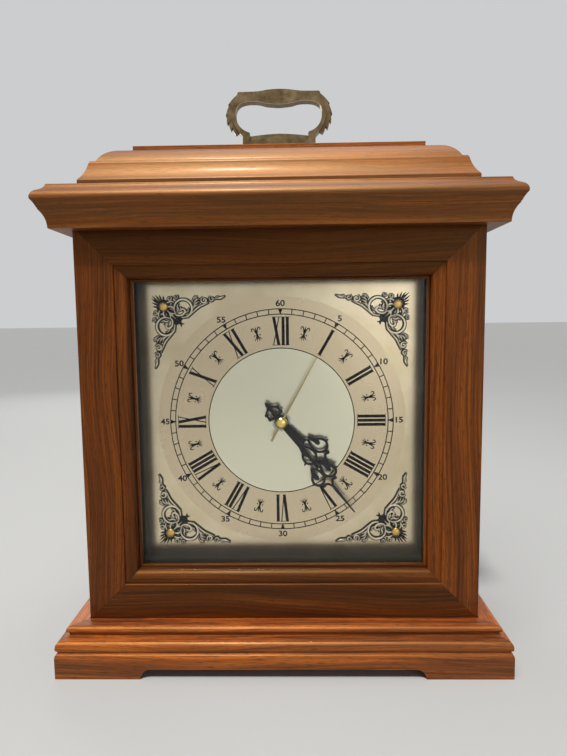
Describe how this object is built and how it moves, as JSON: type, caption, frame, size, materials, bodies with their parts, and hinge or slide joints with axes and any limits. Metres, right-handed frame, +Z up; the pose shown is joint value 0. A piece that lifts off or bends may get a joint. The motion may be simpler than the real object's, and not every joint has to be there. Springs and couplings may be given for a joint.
{
  "type": "bracket clock",
  "caption": "Wooden bracket clock: mitred square front with a glazed dial, stepped cornice and plinth, caddy top with a brass loop handle, and a battery movement behind a hinged rear door.",
  "frame": {"origin": "centre of the whole clock's footprint, on the surface that the bracket feet stand on", "axes": "+Z up, +Y towards the rear door, +X to the right as seen from the front, so the dial faces -Y"},
  "size_m": [0.2894, 0.1396, 0.3839],
  "materials": {
    "case_wood": "red-brown polished mahogany",
    "inner_wood": "dark stained, matt",
    "dial_board": "brown hardboard",
    "clear_glass": "clear, polished",
    "dial_brass": "satin, spun in the middle",
    "cast_brass": "antique cast brass, dark in the hollows",
    "bright_brass": "polished",
    "hand_black": "matt black",
    "black_plastic": "moulded, lightly textured",
    "white_plastic": "natural acetal",
    "steel": "turned",
    "copper_wire": "enamelled copper winding",
    "circuit_board": "green solder mask",
    "speaker_paper": "paper cone in a black basket",
    "battery_wrap": "plain wrap with metal ends"
  },
  "bodies": {
    "root": {"base_board": "case_wood", "plinth_front": "case_wood", "plinth_left": "case_wood", "plinth_right": "case_wood", "plinth_back": "case_wood", "frame_stile_left": "case_wood", "frame_stile_right": "case_wood", "frame_rail_top": "case_wood", "frame_rail_bottom": "case_wood", "glass_pane": "clear_glass", "dial_spacer": "inner_wood", "side_panel_left": "case_wood", "side_panel_right": "case_wood", "top_board": "case_wood", "cornice_front": "case_wood", "cornice_left": "case_wood", "cornice_right": "case_wood", "roof_front": "case_wood", "roof_left": "case_wood", "roof_right": "case_wood", "roof_back": "case_wood", "roof_plate": "case_wood", "handle": "cast_brass", "handle_screw_left": "steel", "handle_screw_right": "steel", "hinge_case_leaf": "bright_brass", "hinge_pin": "steel", "dial_plate": "dial_brass", "dial_board": "dial_board", "spandrel_top_left": "cast_brass", "spandrel_top_right": "cast_brass", "spandrel_bottom_right": "cast_brass", "spandrel_bottom_left": "cast_brass", "dial_nut": "bright_brass", "movement_front": "black_plastic", "movement_back": "black_plastic", "battery": "battery_wrap", "contact_plus": "bright_brass", "contact_minus": "bright_brass", "circuit_board": "circuit_board", "coil": "copper_wire", "stator": "steel", "speaker": "speaker_paper"},
    "second_hand": {"second_hand": "bright_brass", "second_wheel": "white_plastic"},
    "third_wheel": {"third_wheel": "white_plastic"},
    "centre_wheel": {"centre_wheel": "white_plastic"},
    "intermediate_wheel": {"intermediate_wheel": "white_plastic"},
    "rotor": {"rotor": "steel"},
    "minute_hand": {"minute_hand": "hand_black", "cannon_pinion": "bright_brass"},
    "minute_wheel": {"minute_wheel": "white_plastic", "setting_knob": "black_plastic"},
    "hour_hand": {"hour_hand": "hand_black", "hour_wheel": "white_plastic"},
    "rear_door": {"rear_door": "case_wood", "hinge_door_leaf": "bright_brass"},
    "turn_button": {"turn_button": "bright_brass"},
    "chime_selector": {"chime_selector": "white_plastic"},
    "volume_knob": {"volume_knob": "black_plastic"}
  },
  "joints": [
    {"name": "second_hand_turn", "type": "hinge", "parent": "root", "child": "second_hand", "pos_m": [0, -0.0078, 0.157], "axis": [0, 1, 0], "continuous": true},
    {"name": "third_wheel_turn", "type": "hinge", "parent": "root", "child": "third_wheel", "pos_m": [0.00987, -0.0078, 0.16059], "axis": [0, 1, 0], "continuous": true},
    {"name": "centre_wheel_turn", "type": "hinge", "parent": "root", "child": "centre_wheel", "pos_m": [0, -0.0078, 0.157], "axis": [0, 1, 0], "continuous": true},
    {"name": "intermediate_wheel_turn", "type": "hinge", "parent": "root", "child": "intermediate_wheel", "pos_m": [0.00146, -0.0078, 0.16527], "axis": [0, 1, 0], "continuous": true},
    {"name": "rotor_turn", "type": "hinge", "parent": "root", "child": "rotor", "pos_m": [0.00461, -0.0078, 0.17073], "axis": [0, 1, 0], "continuous": true},
    {"name": "minute_hand_turn", "type": "hinge", "parent": "root", "child": "minute_hand", "pos_m": [0, -0.0078, 0.157], "axis": [0, 1, 0], "continuous": true},
    {"name": "minute_wheel_turn", "type": "hinge", "parent": "root", "child": "minute_wheel", "pos_m": [-0.00849, -0.0078, 0.16549], "axis": [0, 1, 0], "continuous": true},
    {"name": "hour_hand_turn", "type": "hinge", "parent": "root", "child": "hour_hand", "pos_m": [0, -0.0078, 0.157], "axis": [0, 1, 0], "continuous": true},
    {"name": "rear_door_hinge", "type": "hinge", "parent": "root", "child": "rear_door", "pos_m": [0.1137, 0.06788, 0.157], "axis": [0, 0, -1], "range_deg": [0, 175]},
    {"name": "turn_button_pivot", "type": "hinge", "parent": "root", "child": "turn_button", "pos_m": [-0.121, 0.0665, 0.157], "axis": [0, -1, 0], "range_deg": [0, 90]},
    {"name": "chime_selector_slide", "type": "slide", "parent": "root", "child": "chime_selector", "axis": [1, 0, 0], "range_m": [-0.004, 0.004]},
    {"name": "volume_knob_turn", "type": "hinge", "parent": "root", "child": "volume_knob", "pos_m": [0.024, 0.0105, 0.169], "axis": [0, -1, 0], "range_deg": [-150, 150]}
  ],
  "couplings": [
    {"joint": "third_wheel_turn", "follows": "second_hand_turn", "ratio": -0.13333},
    {"joint": "centre_wheel_turn", "follows": "second_hand_turn", "ratio": 0.016667},
    {"joint": "intermediate_wheel_turn", "follows": "second_hand_turn", "ratio": -6},
    {"joint": "rotor_turn", "follows": "second_hand_turn", "ratio": 30},
    {"joint": "minute_wheel_turn", "follows": "minute_hand_turn", "ratio": -0.33333},
    {"joint": "hour_hand_turn", "follows": "minute_hand_turn", "ratio": 0.083333}
  ]
}
